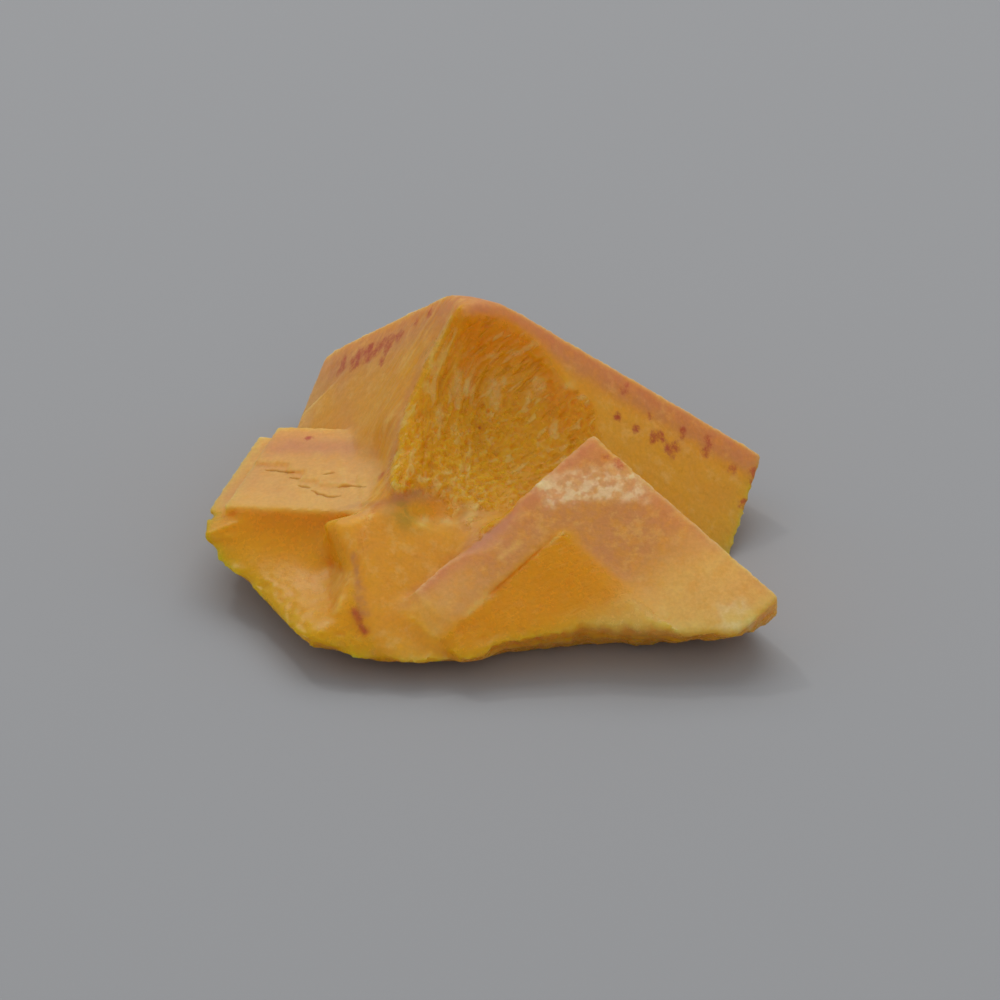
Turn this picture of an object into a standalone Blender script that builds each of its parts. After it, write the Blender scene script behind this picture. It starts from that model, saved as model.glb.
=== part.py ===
"""Fluorite specimen: cubes that grew into each other, broken off along a flat cleavage, as one solid."""

import math

import bmesh
import bpy
from mathutils import Matrix, Vector, noise

MM = 0.001

# Layout positions are in millimetres: +X right, +Y away from the front, +Z up from the floor.
# FOOTPRINT_CENTRE is the middle of the finished specimen in that layout, and becomes the origin.
FOOTPRINT_CENTRE = Vector((0.03, 10.8, 0.0))
REACH = 60.0  # takes a cutting block clear of the specimen

# The large cube stands on one corner, with its worn apex at the top.
MAIN_EDGE = 18.55
MAIN_APEX = Vector((-1.0, 13.2, 14.25))
MAIN_RIGHT = Vector((0.798, 0.101, -0.594))
MAIN_LEFT = Vector((-0.534, 0.577, -0.618))
APEX_WEAR = 0.7  # height worn off the apex
BEVEL_POINT = Vector((-7.05, 17.75, 6.9))
BEVEL_OUTWARD = Vector((-0.856, -0.113, 0.505))
BEVEL_DOWN = Vector((-0.517, 0.214, -0.828))
CHIP_POINT = Vector((-8.3, 21.5, 5.4))
CHIP_OUTWARD = Vector((-0.925, 0.173, 0.338))

# The front right cube leans back and shows one face.
FRONT_APEX = Vector((5.15, 8.0, 8.5))
FRONT_LEFT = Vector((-0.707, -0.604, -0.368))
FRONT_RIGHT = Vector((0.707, -0.604, -0.368))
FRONT_EDGES = (13.65, 13.1, 11.0)
RECESS_CORNER = (4.9, 2.7)  # the recess starts this far along the two edges
RECESS_DEPTH = 0.34
RECESS_SLOPE = 2.2  # degrees that its floor climbs towards the right

# The left block has a nearly level top, with a broken ledge across it.
LEFT_CORNER = Vector((-13.4, 8.25, 4.1))
LEFT_ALONG = Vector((0.887, -0.414, 0.201))
LEFT_BACK = Vector((0.388, 0.9085, 0.156))
LEFT_EDGES = (9.5, 6.9, 7.0)
LEFT_FORWARD = 12.5  # how far the block reached to the front before it broke
LEDGE_HEIGHT = 0.12
LEDGE_OUTLINE = (
    (0.1, 3.75), (2.2, 3.75), (2.2, 3.2), (3.3, 3.2), (3.3, 2.5), (4.4, 2.5), (4.4, 2.15),
    (6.1, 2.15), (6.1, 3.9), (9.0, 3.9), (9.0, 6.8), (0.1, 6.8),
)

# The middle block lies low, against the large cube's ridge.
MIDDLE_CORNER = Vector((-8.1, 3.9, 6.25))
MIDDLE_ALONG = Vector((0.929, 0.367, 0.036))
MIDDLE_DOWN = Vector((0.328, -0.777, -0.538))
MIDDLE_EDGES = (11.2, 6.75, 5.7)
MIDDLE_ROOT = ((-1.1, 3.2, -4.9), (1.0, 6.45, -0.32))
SIDE_STEP = 0.45  # the middle block's face stands this far above what is to its left

# Growth plates on the large cube's back face: where each starts, how far it goes, and its height.
BACK_PLATES = (
    ((1.3, 2.1), (17.6, 15.5), 0.14),
    ((2.6, 4.4), (14.1, 13.9), 0.30),
    ((4.1, 5.2), (9.2, 11.8), 0.46),
    ((11.0, 8.0), (16.4, 17.3), 0.27),
)

# The broken rim, from the left end round the front to the right end, with the foot below each
# point where the underside meets the floor.
RIM_AND_FOOT = (
    ((-20.0, 26.0, 3.0), (-19.0, 26.0, 0.0)),
    ((-17.5, 15.0, 3.0), (-13.0, 17.0, 0.0)),
    ((-14.2, 8.6, 3.5), (-10.0, 11.5, 0.0)),
    ((-14.3, 7.0, 3.1), (-9.3, 8.5, 0.0)),
    ((-13.9, 5.2, 2.7), (-9.2, 7.0, 0.0)),
    ((-13.0, 4.3, 2.6), (-8.6, 5.5, 0.0)),
    ((-12.5, 3.0, 2.45), (-8.2, 4.6, 0.0)),
    ((-11.7, 1.6, 2.3), (-7.8, 3.8, 0.0)),
    ((-11.0, 0.5, 2.2), (-7.4, 3.0, 0.0)),
    ((-10.4, -0.6, 2.15), (-7.0, 2.2, 0.0)),
    ((-9.5, -1.65, 2.05), (-6.5, 1.6, 0.0)),
    ((-8.0, -2.1, 1.95), (-5.6, 1.0, 0.0)),
    ((-6.9, -2.9, 1.85), (-4.8, 0.6, 0.0)),
    ((-4.5, -3.1, 1.8), (-3.0, 0.4, 0.0)),
    ((-2.5, -3.0, 1.8), (-1.4, 0.5, 0.0)),
    ((-0.5, -2.8, 1.85), (0.0, 0.8, 0.0)),
    ((0.0, -2.3, 2.1), (1.2, 1.0, 0.0)),
    ((1.5, -1.8, 2.25), (2.4, 1.2, 0.0)),
    ((4.0, -1.5, 2.35), (4.0, 1.5, 0.0)),
    ((4.5, -1.1, 2.45), (5.2, 1.7, 0.0)),
    ((7.5, -1.3, 2.4), (7.2, 1.9, 0.0)),
    ((11.5, -1.6, 2.3), (9.2, 2.2, 0.0)),
    ((12.8, -1.4, 2.3), (10.4, 2.8, 0.0)),
    ((13.8, -0.6, 2.25), (11.0, 3.6, 0.0)),
    ((14.5, 0.6, 2.1), (11.4, 4.6, 0.0)),
    ((16.5, 2.6, 1.7), (11.8, 6.5, 0.0)),
    ((20.0, 12.0, 1.5), (14.0, 12.0, 0.0)),
    ((20.0, 32.0, 1.5), (19.0, 32.0, 0.0)),
    ((0.0, 38.0, 3.0), (0.0, 37.0, 0.0)),
    ((-20.0, 34.0, 3.0), (-19.0, 33.0, 0.0)),
)
RIM_SPACING = 0.28
RIM_CHIPS = 0.16  # how far the broken rim strays from its line
LONGEST_BROKEN_RUN = 5.0  # longer runs of the line lie clear of the specimen
UNDERSIDE_CURVE = 1.4
UNDERSIDE_RINGS = (0.72, 0.35, 0.0)  # shares of the way out from the foot


def world(point):
    """The world position, in metres, of a layout point."""
    return (Vector(point) - FOOTPRINT_CENTRE) * MM


def frame_of(corner, axes):
    """A matrix whose origin is a layout point and whose axes are the given directions, made square."""
    x_axis = axes[0].normalized()
    y_axis = (axes[1] - axes[1].project(x_axis)).normalized()
    z_axis = x_axis.cross(y_axis)
    turn = Matrix((x_axis, y_axis, z_axis)).transposed().to_4x4()
    return Matrix.Translation(world(corner)) @ turn


def add_object(name, shape, matrix, collection):
    """Turns a bmesh into an object with outward faces, placed by the matrix."""
    bmesh.ops.recalc_face_normals(shape, faces=shape.faces)
    mesh = bpy.data.meshes.new(name)
    shape.to_mesh(mesh)
    shape.free()
    thing = bpy.data.objects.new(name, mesh)
    thing.matrix_world = matrix
    collection.objects.link(thing)
    return thing


def add_cutter(name, shape, matrix):
    """An object that only takes part in Booleans."""
    thing = add_object(name, shape, matrix, bpy.data.collections["cutters"])
    thing.hide_render = True
    thing.display_type = "WIRE"
    return thing


def box_shape(low, high):
    """A box between two corners, in millimetres of its own frame."""
    shape = bmesh.new()
    bmesh.ops.create_cube(shape, size=1.0)
    size = Vector(high) - Vector(low)
    middle = (Vector(high) + Vector(low)) / 2
    bmesh.ops.scale(shape, vec=size * MM, verts=shape.verts)
    bmesh.ops.translate(shape, vec=middle * MM, verts=shape.verts)
    return shape


def plate_shape(outline, low, high):
    """A flat plate of the given outline, between two heights, in millimetres of its own frame."""
    shape = bmesh.new()
    face = shape.faces.new([shape.verts.new(Vector((x, y, low)) * MM) for x, y in outline])
    grown = bmesh.ops.extrude_face_region(shape, geom=[face])["geom"]
    top = [item for item in grown if isinstance(item, bmesh.types.BMVert)]
    bmesh.ops.translate(shape, vec=(0, 0, (high - low) * MM), verts=top)
    return shape


def conchoidal_shape(radii, ripple, hackle, strands, detail):
    """An ellipsoid whose surface has rings round its +Z pole and hackle lines that spread from that pole."""
    shape = bmesh.new()
    bmesh.ops.create_icosphere(shape, subdivisions=detail, radius=1.0)
    for vert in shape.verts:
        place = vert.co.copy()
        from_pole = math.acos(max(-1.0, min(1.0, place.z)))
        around = math.atan2(place.y, place.x)
        wander = noise.noise(place * 2.3)
        rings = math.sin(from_pole * 21 + wander * 4)
        lines = abs(math.sin(around * strands + wander * 5)) - 0.6
        swell = 1 + ripple * rings + hackle * lines * math.sin(from_pole)
        vert.co = Vector(a * b for a, b in zip(place, radii)) * swell * MM
    return shape


def boolean(thing, other, operation):
    """Adds a live Boolean of the other object."""
    modifier = thing.modifiers.new(f"{operation.lower()} {other.name}", "BOOLEAN")
    modifier.operation = operation
    modifier.object = other
    modifier.solver = "EXACT"


def crystal_shape(lengths):
    """A block whose +Z face holds the origin at one corner, with its edges along +X and +Y."""
    along_x, along_y, depth = lengths
    return box_shape((0, 0, -depth), (along_x, along_y, 0))


def cut_flat(thing, name, point, outward):
    """Cuts off all that lies beyond a plane through the point."""
    upright = Vector((0, 0, 1)) if abs(Vector(outward).normalized().z) < 0.9 else Vector((0, 1, 0))
    frame = frame_of(point, (Vector(outward), upright))
    shape = box_shape((0, -REACH, -REACH), (REACH, REACH, REACH))
    boolean(thing, add_cutter(name, shape, frame), "DIFFERENCE")


def add_hollow(thing):
    """The glassy hollow where the large cube's front ridge broke away, as two conchoidal scoops."""
    down = Vector((0.25, -0.35, -0.9))
    across = Vector((1.0, 0.2, 0.1))
    sideways = -down.cross(across)
    scoops = (
        ("hollow_upper", (5.3, 5.15, 5.45), (1.25, 7.65, 10.9)),
        ("hollow_lower", (8.1, 7.35, 7.5), (1.65, 5.2, 12.7)),
    )
    for name, radii, middle in scoops:
        shape = conchoidal_shape(radii, 0.005, 0.012, 14, 5)
        frame = frame_of(middle, (across, sideways))
        boolean(thing, add_cutter(name, shape, frame), "DIFFERENCE")


def add_main_crystal():
    """The large cube, with growth plates on its back face."""
    frame = frame_of(MAIN_APEX, (MAIN_RIGHT, MAIN_LEFT))
    shape = crystal_shape((MAIN_EDGE, MAIN_EDGE, MAIN_EDGE))
    main = add_object("fluorite_crystals", shape, frame, bpy.data.collections["fluorite_specimen"])
    for number, (low, high, height) in enumerate(BACK_PLATES):
        plate = box_shape((*low, -1.0), (*high, height))
        boolean(main, add_cutter(f"back_plate_{number}", plate, frame), "UNION")
    bevel_frame = frame_of(BEVEL_POINT, (BEVEL_OUTWARD, BEVEL_DOWN))
    bevel = box_shape((0, -REACH, -REACH), (REACH, REACH, 0))
    boolean(main, add_cutter("left_bevel", bevel, bevel_frame), "DIFFERENCE")
    cut_flat(main, "left_corner_chip", CHIP_POINT, CHIP_OUTWARD)
    cut_flat(main, "worn_apex", MAIN_APEX - Vector((0, 0, APEX_WEAR)), (0, 0, 1))
    return main


def add_front_crystal():
    """The front right cube, with the recess whose two steps follow its edges."""
    frame = frame_of(FRONT_APEX, (FRONT_LEFT, FRONT_RIGHT))
    front = add_cutter("front_crystal", crystal_shape(FRONT_EDGES), frame)
    recess = box_shape((0, 0, -RECESS_DEPTH), (REACH, REACH, REACH))
    corner = Matrix.Translation(Vector((*RECESS_CORNER, 0)) * MM)
    tilt = Matrix.Rotation(math.radians(RECESS_SLOPE), 4, "X")
    boolean(front, add_cutter("front_recess", recess, frame @ corner @ tilt), "DIFFERENCE")
    return front


def add_left_crystal():
    """The left block, with the ledge on its top and the concave break that undercuts its front edge."""
    frame = frame_of(LEFT_CORNER, (LEFT_ALONG, LEFT_BACK))
    along, back, depth = LEFT_EDGES
    shape = box_shape((-1.3, -LEFT_FORWARD, -depth), (along, back, 0))
    left = add_cutter("left_crystal", shape, frame)
    foot = box_shape((0.5, -LEFT_FORWARD - 0.5, -depth - 0.5), (along + 4, -2.0, -0.1))
    boolean(left, add_cutter("left_foot", foot, frame), "UNION")
    end_step = box_shape((-REACH, -0.4, -0.6), (0.0, REACH, REACH))
    boolean(left, add_cutter("left_end_step", end_step, frame), "DIFFERENCE")
    scoops = (((4.6, 4.3, 1.0), (3.5, -4.2, -0.3)), ((13.0, 6.15, 1.75), (9.0, -6.0, -0.4)))
    for number, (radii, middle) in enumerate(scoops):
        scoop = conchoidal_shape(radii, 0.006, 0.01, 9, 5)
        scoop_frame = frame @ Matrix.Translation(Vector(middle) * MM)
        boolean(left, add_cutter(f"left_scoop_{number}", scoop, scoop_frame), "DIFFERENCE")
    front_top = box_shape((-REACH, -REACH, -0.4), (REACH, 0.0, REACH))
    boolean(left, add_cutter("left_front_top", front_top, frame), "DIFFERENCE")
    ledge = plate_shape(LEDGE_OUTLINE, -0.5, LEDGE_HEIGHT)
    boolean(left, add_cutter("left_ledge", ledge, frame), "UNION")
    return left


def add_middle_root(crystals):
    """The shelf that the middle block shares with the large cube, which the hollow then cuts into."""
    frame = frame_of(MIDDLE_CORNER, (MIDDLE_DOWN, MIDDLE_ALONG))
    low, high = MIDDLE_ROOT
    boolean(crystals, add_cutter("middle_root", box_shape(low, high), frame), "UNION")


def add_middle_crystal(crystals):
    """The low block in the middle, whose face runs on over its neighbours, with a glassy pocket in its top edge."""
    frame = frame_of(MIDDLE_CORNER, (MIDDLE_DOWN, MIDDLE_ALONG))
    down, along, depth = MIDDLE_EDGES
    clear = box_shape((0.05, 0.05, -0.05), (down - 0.05, along - 0.05, REACH))
    boolean(crystals, add_cutter("middle_clearance", clear, frame), "DIFFERENCE")
    side = box_shape((0.25, -3.5, -SIDE_STEP), (down + 2, 0.07, REACH))
    boolean(crystals, add_cutter("middle_side_step", side, frame), "DIFFERENCE")
    middle = add_cutter("middle_crystal", crystal_shape(MIDDLE_EDGES), frame)
    boolean(crystals, middle, "UNION")
    pocket = conchoidal_shape((1.2, 1.45, 0.85), 0.02, 0.08, 3, 4)
    pocket_frame = frame @ Matrix.Translation(Vector((0.85, 5.5, 0.15)) * MM)
    boolean(crystals, add_cutter("middle_pocket", pocket, pocket_frame), "DIFFERENCE")


def broken_line():
    """Pairs of rim and foot points at an even spacing round the specimen, one from each straight run to the next."""
    pairs = [(Vector(rim), Vector(foot)) for rim, foot in RIM_AND_FOOT]
    line = []
    for start, end in zip(pairs, pairs[1:] + pairs[:1]):
        run = (end[0] - start[0]).length
        steps = round(run / RIM_SPACING) if run < LONGEST_BROKEN_RUN else 3
        for step in range(max(1, steps)):
            line.append([near.lerp(far, step / max(1, steps)) for near, far in zip(start, end)])
    return line


def break_point(rim, foot, share):
    """A point of the broken underside, at a share of the way from the foot out to the rim."""
    outward = (rim - foot).normalized()
    outward.z = 0
    roughness = 2 * noise.noise(rim * 1.7) + noise.noise(rim * 4.1)
    point = foot.lerp(rim, share) + outward * roughness * RIM_CHIPS * share
    point.z = rim.z * share ** UNDERSIDE_CURVE
    point.z += RIM_CHIPS * 1.5 * noise.noise(point * 1.1 + Vector((9, 0, 0)))
    point.z = max(0.15, point.z) if share else 0.0
    return point


def add_break():
    """The solid that the crystals are trimmed to: walls down to the broken rim, then in to the level foot."""
    line = broken_line()
    rim_ring = [break_point(rim, foot, 1.0) for rim, foot in line]
    rings = [[Vector((point.x, point.y, REACH)) for point in rim_ring], rim_ring]
    for share in UNDERSIDE_RINGS:
        rings.append([break_point(rim, foot, share) for rim, foot in line])
    shape = bmesh.new()
    loops = [[shape.verts.new(world(point)) for point in ring] for ring in rings]
    for upper, lower in zip(loops, loops[1:]):
        for number in range(len(line)):
            after = (number + 1) % len(line)
            shape.faces.new((upper[number], upper[after], lower[after], lower[number]))
    shape.faces.new(loops[0])
    shape.faces.new(reversed(loops[-1]))
    bmesh.ops.triangulate(shape, faces=shape.faces)
    return add_cutter("break_surface", shape, Matrix.Identity(4))


def add_material(thing):
    """Honey-yellow fluorite."""
    material = bpy.data.materials.new("fluorite")
    material.use_nodes = True
    shader = material.node_tree.nodes["Principled BSDF"]
    shader.inputs["Base Color"].default_value = (0.60, 0.36, 0.10, 1.0)
    shader.inputs["Roughness"].default_value = 0.3
    shader.inputs["Metallic"].default_value = 0.0
    shader.inputs["IOR"].default_value = 1.434
    thing.data.materials.append(material)


def main():
    """Builds the specimen in an empty scene."""
    for thing in list(bpy.data.objects):
        bpy.data.objects.remove(thing, do_unlink=True)
    for name in ("fluorite_specimen", "cutters"):
        collection = bpy.data.collections.new(name)
        bpy.context.scene.collection.children.link(collection)
    crystals = add_main_crystal()
    boolean(crystals, add_left_crystal(), "UNION")
    add_middle_root(crystals)
    add_hollow(crystals)
    add_middle_crystal(crystals)
    boolean(crystals, add_front_crystal(), "UNION")
    boolean(crystals, add_break(), "INTERSECT")
    add_material(crystals)


main()
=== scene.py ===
"""Fluorite specimen: honey-yellow cubes with a peach outer zone, broken open, on a plain pale floor."""

import math

import bmesh
import bpy
import numpy as np
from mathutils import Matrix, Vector, noise
from mathutils.bvhtree import BVHTree


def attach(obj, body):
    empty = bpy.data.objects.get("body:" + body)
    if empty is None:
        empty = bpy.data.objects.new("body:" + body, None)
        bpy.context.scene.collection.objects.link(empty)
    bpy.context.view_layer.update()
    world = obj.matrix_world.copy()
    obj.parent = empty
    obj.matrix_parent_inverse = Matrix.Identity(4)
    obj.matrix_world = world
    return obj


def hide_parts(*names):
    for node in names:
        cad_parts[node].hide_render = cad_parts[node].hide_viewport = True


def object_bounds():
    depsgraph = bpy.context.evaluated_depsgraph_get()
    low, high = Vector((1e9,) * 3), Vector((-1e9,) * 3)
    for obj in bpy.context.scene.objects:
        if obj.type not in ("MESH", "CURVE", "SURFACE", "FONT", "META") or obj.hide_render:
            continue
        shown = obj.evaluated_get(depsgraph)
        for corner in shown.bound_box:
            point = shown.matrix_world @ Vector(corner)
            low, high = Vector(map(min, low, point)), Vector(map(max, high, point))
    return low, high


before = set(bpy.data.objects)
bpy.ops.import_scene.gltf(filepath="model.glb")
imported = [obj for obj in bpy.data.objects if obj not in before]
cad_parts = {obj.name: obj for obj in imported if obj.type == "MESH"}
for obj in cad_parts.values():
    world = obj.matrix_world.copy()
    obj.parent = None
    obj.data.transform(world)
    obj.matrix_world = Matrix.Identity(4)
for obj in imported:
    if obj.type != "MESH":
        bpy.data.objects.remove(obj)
CAD_BOX = [list(corner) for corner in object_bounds()]

bl_info = {
    "name": "Fluorite specimen",
    "version": (1, 0, 0),
    "blender": (4, 5, 0),
    "location": "3D View > Sidebar > Fluorite",
    "description": "Makes a small cluster of honey-yellow fluorite cubes and the stage it stands on",
    "category": "Object",
}

CAD_NODE = "fluorite_crystals"
CLUSTER = "fluorite_cluster"
MM = 0.001
FAR = 1e9

# Lengths are in millimetres down to the finish. In the layout +X is right, +Y away from the front, and +Z up
# from the floor. "Across and up" are a place's X and its height in the view plane, as view_height gives it.
FOOTPRINT_CENTRE = np.array((0.03, 10.8, 0.0))
INSET = 0.004  # how far the finished surface keeps inside the solid's box
BASE_HEIGHT = 0.02  # points below this lie on the floor
TILT = (0.5, 0.866)  # what a millimetre away and a millimetre up add to the height in the view plane

# Each crystal has a corner, the directions of two edges from it, and the lengths of its edges.
MAIN_APEX = (-1.0, 13.2, 14.25)
MAIN_AXES = ((0.798, 0.101, -0.594), (-0.534, 0.577, -0.618))
MAIN_EDGE = 18.55
BEVEL_POINT = (-7.05, 17.75, 6.9)  # a point on its bevel, and the way that faces
BEVEL_OUTWARD = (-0.856, -0.113, 0.505)
APEX_TOP = (-1.0, 13.2, 13.6)  # the top of the main crystal as it is worn
GROWTH_RUN = (0.281, 0.811, 0.514)  # the growth steps of the main crystal run square to this

FRONT_APEX = (5.15, 8.0, 8.5)
FRONT_AXES = ((-0.707, -0.604, -0.368), (0.707, -0.604, -0.368))
FRONT_TOP = (13.7, 13.1)
FRONT_DEPTH = 11.0
BAND_LENGTH = 12.7  # where the raised band of the front crystal ends, along its left edge
BAND_END = ((13.65, 0.0, 0.0), (13.65, 2.7, 0.0), (11.0, 2.75, -0.1))
BAND_GLINTS = (((11.8, 2.75), (10.0, 2.75)), ((8.3, 1.7), (7.0, 1.75)), ((5.9, 2.85), (5.0, 2.9)))
RECESS_CORNER = (4.9, 2.7)
RECESS_BORDER = ((4.95, 2.7, -0.2), (4.95, 9.6, -0.4))
RECESS_LIFT = 0.33  # how far the recess's floor is lifted towards the face
RIB_HEIGHT, BAND_FALL = 0.02, 0.09  # of the ribs in the recess's step, and of the face past the band
FROST_LINE = ((3.5, 1.0), (1.9, 2.2), (0.7, 3.6))  # the middle of the frosty crust

LEFT_CORNER = (-13.4, 8.25, 4.1)
LEFT_AXES = ((0.887, -0.414, 0.201), (0.388, 0.9085, 0.156))
LEFT_TOP = (9.5, 6.9)
LEFT_LEVEL = 0.06  # of its top, above its corner
LEFT_END = (7.0, 7.0)  # width and depth of its end face
# Where the uncovered strip of its top ends: places along its second edge, then along its first.
LEFT_TOP_LIMIT = ((0.5, 1.1, 3.0, 5.3, 6.7), (7.5, 7.75, 7.9, 6.4, 4.2))
LEFT_CRACKS = (  # along the left crystal's two edges
    ((0.9, 3.3), (2.6, 3.1)),
    ((2.5, 2.7), (3.2, 2.6)),
    ((3.3, 2.05), (4.1, 1.9)),
    ((4.2, 1.7), (5.4, 1.2), (6.1, 1.3)),
    ((5.6, 2.0), (6.2, 2.2), (7.2, 2.1)),
    ((4.4, 2.9), (5.0, 3.1)),
)
CRACK_REACHES = (0.30, 0.16)  # the mesh is made finer once within each of these distances from a crack

MIDDLE_CORNER = (-8.1, 3.9, 6.25)
MIDDLE_AXES = ((0.328, -0.777, -0.538), (0.929, 0.367, 0.036))
MIDDLE_TOP = (11.0, 9.5)
MIDDLE_BORDER = ((9.0, 0.0, 0.0), (0.0, 0.0, 0.0), (0.0, 6.75, 0.0), (5.0, 6.75, 0.0))
MIDDLE_SEAM = ((-7.0, 5.35), (-6.6, 3.8), (-6.3, 2.4))  # the coloured seams and the streak: across and up
MIDDLE_TOP_SEAM = ((-8.0, 7.45), (-5.9, 7.95), (-4.5, 8.3), (-3.5, 8.6), (-2.4, 8.75))
MIDDLE_STREAK = ((-6.7, 2.45), (-6.3, 1.75), (-5.85, 1.05))
POCKET_PLACE = (-2.35, 7.6, 1.05, 0.8)  # across, up, half width and half height

HOLLOW_AXES = ((1.0, 0.2, 0.1), (0.25, -0.35, -0.9))
HOLLOW_UPPER = ((1.25, 7.65, 10.9), (5.3, 5.15, 5.45))  # the two round cuts: centre and radii
HOLLOW_LOWER = ((1.65, 5.2, 12.7), (8.1, 7.35, 7.5))
# Where the glassy break ends on its left and right: heights in the view plane, then places across.
HOLLOW_LEFT = ((9.15, 10.55, 13.3, 15.0, 16.05, 16.8, 17.45), (-5.25, -5.0, -4.0, -3.4, -2.85, -1.75, -0.75))
HOLLOW_RIGHT = (
    (9.0, 11.0, 12.05, 13.05, 13.8, 14.8, 15.55, 16.55, 17.15, 17.45),
    (4.0, 5.6, 5.4, 5.0, 3.9, 3.3, 2.75, 1.5, 0.5, -0.75),
)
HACKLE_RUN = (-0.42, -0.35, -0.84)  # the way the long hackle lines of the hollow run
CHATTER_RUN = (0.77, 0.32, 0.56)  # the way the short chatter marks across its floor run
CHATTER_HEIGHT = 0.11
HOLLOW_ARCH = (1.2, 12.9, 2.35, 2.65)  # place across and up, half width, half height
ARCH_DEPTH = 0.12
RING_HEIGHT, RINGS = 0.022, 34.0  # the ripples round the arch
HOLLOW_VEILS_AND_GLINTS = (  # pale veils, with painted glints and highlights, in the hollow: place across and up, half width, half height
    (0.0, 13.4, 0.42, 1.05), (2.5, 13.75, 0.34, 0.60), (2.0, 13.05, 0.14, 0.55), (-1.95, 13.6, 0.24, 1.2),
    (-1.5, 13.6, 0.20, 0.55), (-1.9, 14.2, 0.24, 0.16), (-2.8, 16.05, 0.26, 0.18), (-3.3, 9.15, 0.36, 0.17),
    (0.55, 13.9, 0.20, 0.35), (-0.2, 15.35, 0.35, 0.16), (1.3, 15.35, 0.45, 0.12), (4.0, 13.8, 0.3, 0.2),
    (4.6, 13.2, 0.4, 0.12), (-4.3, 12.3, 0.25, 0.4), (3.4, 11.6, 0.18, 0.5), (-2.2, 9.3, 0.3, 0.15),
    (-2.85, 8.4, 0.10, 0.30), (-2.3, 8.3, 0.09, 0.32), (-0.95, 7.5, 0.22, 0.75), (-3.4, 7.0, 0.30, 0.40),
    (-1.9, 6.9, 0.6, 0.14), (-3.3, 14.8, 0.22, 0.8), (-2.7, 12.2, 0.18, 0.6),
)
RIM_CORNER = (-4.5, 4.6, 7.9)  # where the hollow's left rim ends, above the left crystal

# Round spots: two places and a radius. The two places are along the edges of the face that holds the spot.
RIGHT_SPECKS = (
    (9.97, -0.75, 0.55), (10.1, -2.4, 0.5), (11.3, -2.4, 0.5), (12.6, -2.2, 0.8), (13.6, -2.3, 0.8),
    (13.9, -1.2, 0.5), (15.4, -0.9, 0.5), (15.4, -1.5, 0.5), (17.2, -1.6, 0.5), (18.6, -1.4, 1.0),
    (18.4, -3.0, 0.6), (11.9, -1.4, 0.4),
)
LEFT_SPECKS = (
    (6.0, -1.4, 0.7), (6.9, -1.5, 1.0), (7.9, -1.4, 1.1), (8.9, -1.5, 1.2), (10.0, -1.5, 1.1),
    (7.0, -2.45, 0.7), (4.6, -1.0, 0.5), (11.5, -1.4, 0.9), (3.4, -0.8, 0.5),
)
FRONT_SPECKS = ((0.3, 2.1, 0.6), (0.5, 1.4, 0.4))
LEFT_TOP_SPECKS = ((8.6, 2.0, 0.5), (2.2, 5.9, 0.5))
HOLLOW_DOTS = ((-0.65, 8.0, 0.14), (-0.85, 7.2, 0.13))  # across and above the floor
LEFT_WEDGE = ((7.95, 2.6, 0.35),)
CORNER_CREAM = ((2.6, 11.8, 1.9),)  # the pale patch at the front crystal's right corner, and what is on it
CORNER_FROST = ((2.4, 12.2, 1.2),)
CORNER_VEILS = ((2.4, 12.2, 0.8), (1.9, 12.8, 0.6))

# Rounds of smoothing, by what they wear. A film is smoothed with its border held still.
LEFT_BREAK_FILM, HOLLOW_FILM = 60, 2000
RECESS_ROUNDS, HOLLOW_ROUNDS, BORDER_ROUNDS, LEFT_RIM_ROUNDS, APEX_ROUNDS = 60, 12, 90, 260, 50
RIM_CORNER_ROUNDS, ALL_OVER_ROUNDS = 170, 1
SMOOTHING = 0.6  # the share of the way to its neighbours that a point goes in one round
# Rounds that spread a mask along the mesh.
RIM_SPREAD, HOLLOW_SPREAD, GROWN_SPREAD, SOFT_SPREAD, SHARP_SPREAD = 50, 14, 3, 6, 1
SOFT_MASKS = ("skin", "blush", "amber", "cream", "olive", "golden", "grown")
SHARP_ANGLE = math.radians(48)

# The finish, in metres. A noise has its lumps in each millimetre, its detail and its roughness.
CLOUD, MOTTLE, GRIT = (0.45, 4.0, 0.6), (1.6, 4.0, 0.65), (5.0, 3.0, 0.6)
PALE_PATCHES, DARK_PATCHES, BLOBS = (1.1, 5.0, 0.7), (1.9, 5.0, 0.7), (2.0, 2.5, 0.55)
FLECKS, ETCHING, GRAINS = (2.2, 8.0, 0.80), (3.2, 5.0, 0.6), (7.0, 3.0, 0.6)
HACKLE_STREAKS, CHATTER_STREAKS = (2.2, 0.06), (2.8, 0.22)  # in each millimetre, how short
BROKEN_GROWN_ROUGHNESS = (0.24, 0.42)
BROKEN_GROWN_TRANSMISSION = (0.16, 0.06)
CRYSTAL = {
    "IOR": 1.434, "Specular IOR Level": 0.22,
    "Subsurface Weight": 0.9, "Subsurface Radius": (0.8, 0.5, 0.25), "Subsurface Scale": 0.003,
}
ABSORPTION = {"Color": (0.98, 0.75, 0.10, 1), "Density": 90.0}
BUMP = {"Distance": 0.00005, "Strength": 0.6}

# The stage, in metres.
FLOOR_HALF = 1.5
FLOOR_ROUGHNESS = 0.8
SKY = {"Color": (0.92, 0.95, 1.0, 1), "Strength": 0.49}
LAMPS = (  # name, place, the point it faces, size, and the setting that holds its power
    ("overhead", (0.02, 0.22, 0.32), (0, 0, 0), 0.34, "overhead_power"),
    ("front", (0.06, -0.38, 0.22), (0, 0, 0), 0.30, "fill_power"),
    ("small", (-0.10, 0.16, 0.24), (0, 0, 0.006), 0.03, "key_power"),
)
LENS, SENSOR = 600, 36  # in millimetres, as is the point that the camera faces
CAMERA_AIM = (0.47, -5.8, 6.41)


def number(name, description, default, most, least=0.0, unit="LENGTH"):
    """A length or a power for the panel."""
    return bpy.props.FloatProperty(
        name=name, description=description, default=default, min=least, max=most, precision=5, unit=unit)


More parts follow.
